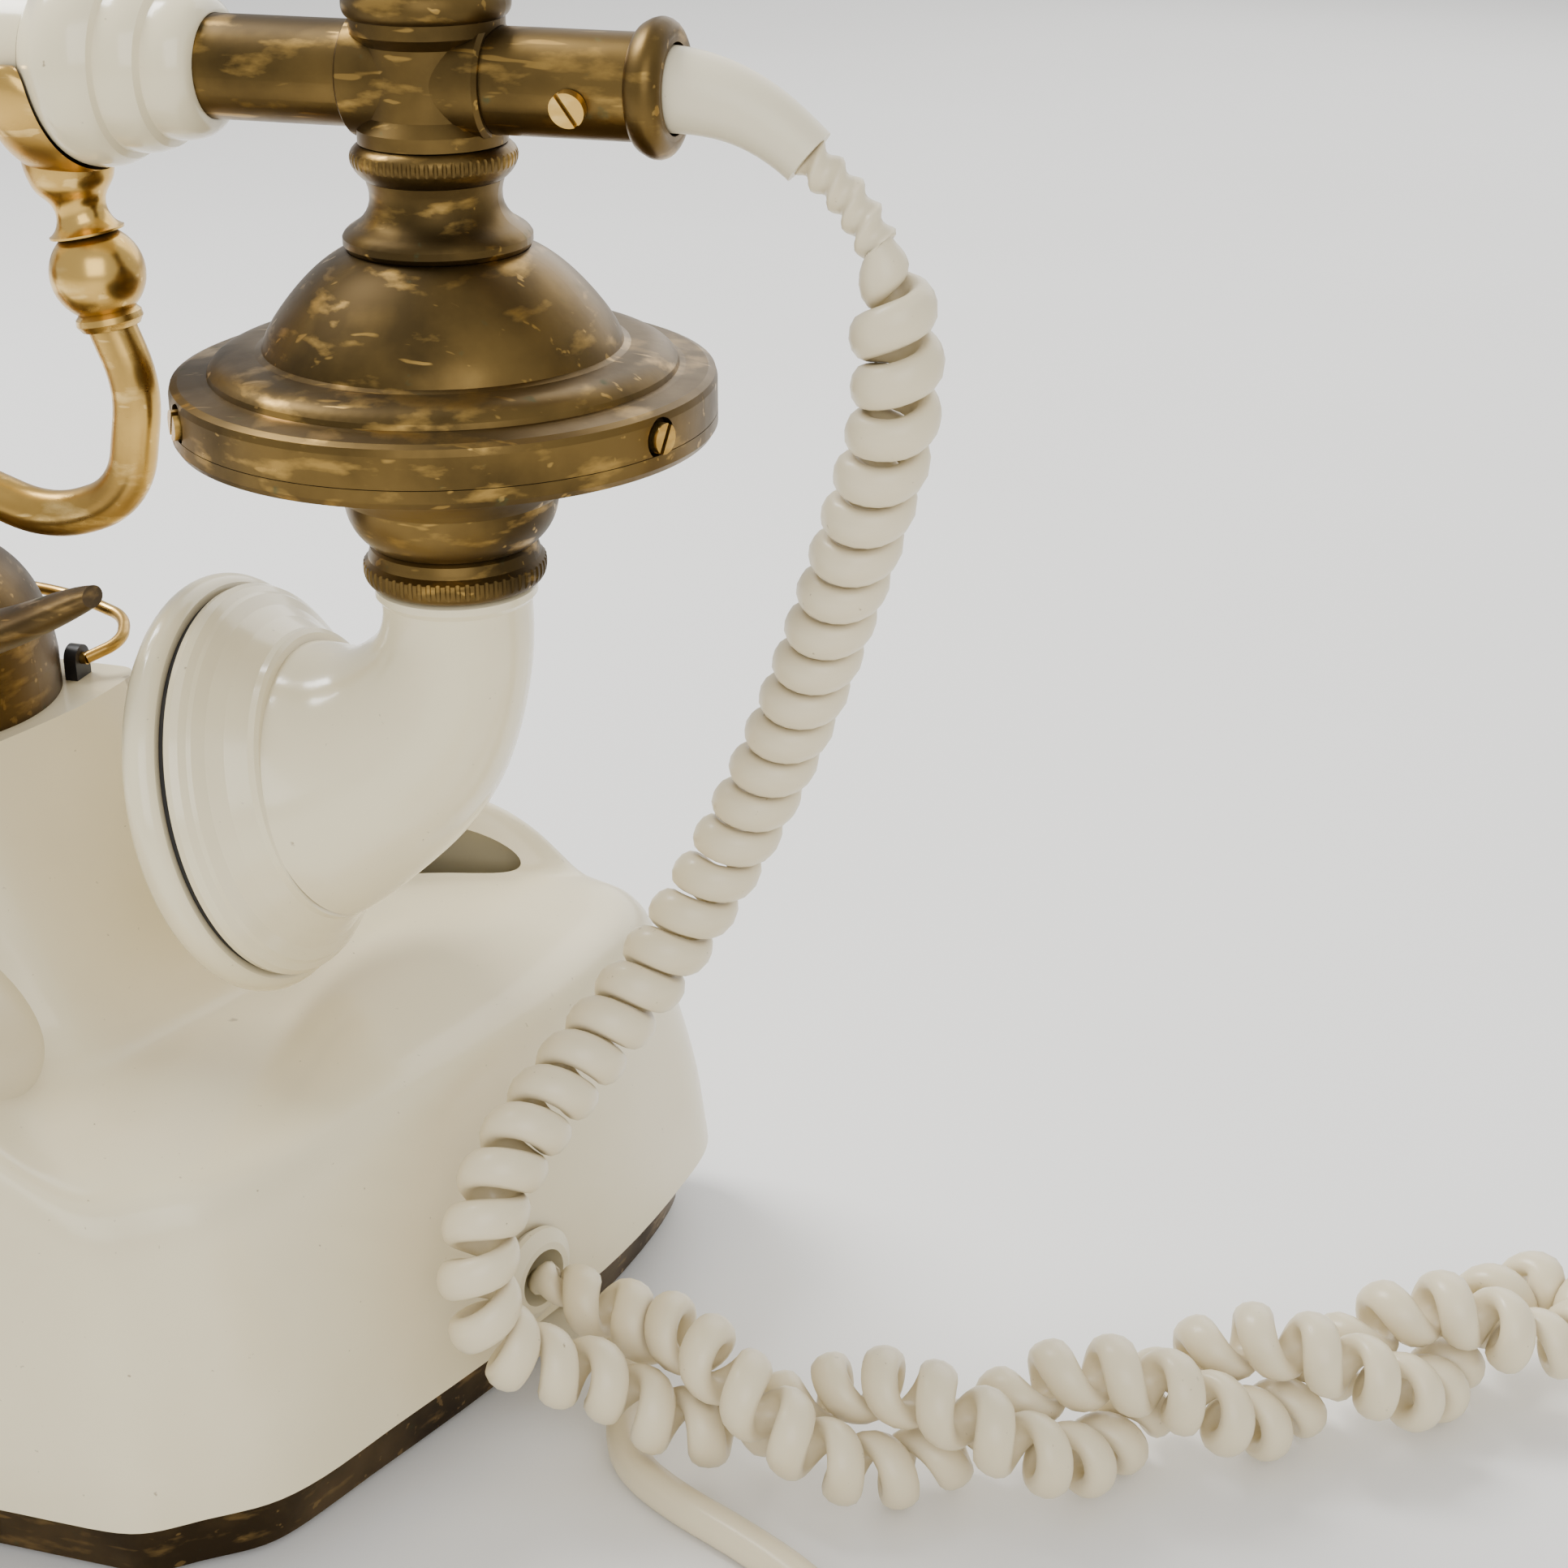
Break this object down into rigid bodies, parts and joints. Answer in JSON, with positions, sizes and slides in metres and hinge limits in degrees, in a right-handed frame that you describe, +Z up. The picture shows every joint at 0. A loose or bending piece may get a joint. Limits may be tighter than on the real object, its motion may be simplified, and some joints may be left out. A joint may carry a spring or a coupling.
{
  "type": "cradle telephone",
  "caption": "Desk telephone with a painted metal body, a rotary dial and a separate brass and ivory handset with a horn mouthpiece that lies in a forked brass cradle.",
  "frame": {"origin": "on the table, under the middle of the phone's bounding box without its cords", "axes": "+Z up, +X along the handset towards the transmitter, -Y out of the dial"},
  "size_m": [0.3742, 0.2054, 0.211],
  "materials": {
    "ivory_enamel": "satin",
    "ivory_plastic": "gloss",
    "ivory_rubber": "satin",
    "cord_ivory": "satin",
    "plug_ivory": "gloss",
    "aged_brass": "satin",
    "bright_brass": "satin",
    "dark_bronze": "satin",
    "black_rubber": "matte",
    "black_steel": "satin",
    "black_plastic": "satin",
    "zinc_steel": "satin",
    "coil_winding": "satin",
    "number_enamel": "gloss"
  },
  "bodies": {
    "base": {"body_shell": "ivory_enamel", "base_tray": "dark_bronze", "rubber_feet": "black_rubber", "dial_ring": "dark_bronze", "dial_case": "zinc_steel", "number_plate": "number_enamel", "finger_stop": "bright_brass", "dial_spring": "zinc_steel", "pillar": "dark_bronze", "finger_rests": "dark_bronze", "bail_brackets": "black_steel", "gongs": "bright_brass", "ringer_frame": "zinc_steel", "ringer_coils": "coil_winding", "induction_coil": "coil_winding", "condenser": "zinc_steel", "terminal_block": "black_plastic", "switch_bracket": "zinc_steel", "switch_leaves": "bright_brass", "cord_bushes": "ivory_rubber", "line_cord_lead": "cord_ivory", "line_cord_coil": "cord_ivory", "line_plug": "plug_ivory", "cord_coil_out": "cord_ivory", "cord_coil_turn": "cord_ivory", "cord_coil_back": "cord_ivory"},
    "cradle": {"plunger": "bright_brass", "return_spring": "zinc_steel", "cradle_hub": "bright_brass", "cradle_arms": "bright_brass", "fork_balls": "bright_brass", "forks": "bright_brass"},
    "handset": {"grip": "ivory_plastic", "ferrules": "ivory_plastic", "core_tube": "aged_brass", "tee_blocks": "aged_brass", "finials": "aged_brass", "fluted_rings": "aged_brass", "head_necks": "aged_brass", "tube_ends": "aged_brass", "boot": "ivory_rubber", "case_cover": "aged_brass", "case_bowl": "aged_brass", "case_screws": "bright_brass", "transmitter_capsule": "zinc_steel", "union_ring": "aged_brass", "horn": "ivory_plastic", "mouth_gasket": "black_rubber", "mouth_cap": "ivory_plastic", "receiver_shell": "aged_brass", "receiver_unit": "zinc_steel", "ear_cap": "ivory_plastic", "cord_lead": "cord_ivory", "cord_coil_hanging": "cord_ivory"},
    "dial": {"finger_wheel": "aged_brass", "dial_centre_cap": "aged_brass", "dial_shaft": "zinc_steel"},
    "governor_fly": {"governor": "bright_brass"},
    "clapper": {"ringer_clapper": "zinc_steel"},
    "bail": {"carry_bail": "bright_brass"}
  },
  "joints": [
    {"name": "handset_lift", "type": "slide", "parent": "base", "child": "handset", "axis": [0, 0, 1], "range_m": [0, 0.06], "deforming": ["cord_coil_hanging"]},
    {"name": "cradle_rise", "type": "slide", "parent": "base", "child": "cradle", "axis": [0, 0, 1], "range_m": [0, 0.005], "stiffness_N_per_m": 200, "springref_m": 0.006, "deforming": ["return_spring"]},
    {"name": "dial_turn", "type": "hinge", "parent": "base", "child": "dial", "pos_m": [-0.00103, -0.05274, 0.059], "axis": [0, 0.9397, -0.342], "range_deg": [0, 330], "stiffness_Nm_per_rad": 0.004, "springref_deg": -28.65},
    {"name": "governor_spin", "type": "hinge", "parent": "base", "child": "governor_fly", "pos_m": [0.01907, -0.05274, 0.059], "axis": [0, 0.9397, -0.342], "range_deg": [-1320, 0]},
    {"name": "clapper_swing", "type": "hinge", "parent": "base", "child": "clapper", "pos_m": [-0.00103, 0.01426, 0.024], "axis": [0, 0, 1], "range_deg": [-4, 4], "stiffness_Nm_per_rad": 0.0005},
    {"name": "bail_swing", "type": "hinge", "parent": "base", "child": "bail", "pos_m": [-0.00103, 0.02186, 0.1046], "axis": [1, 0, 0], "range_deg": [0, 40]}
  ],
  "couplings": [
    {"joint": "governor_spin", "follows": "dial_turn", "ratio": -4},
    {"joint": "cradle_rise", "follows": "handset_lift", "ratio": 0.08}
  ]
}
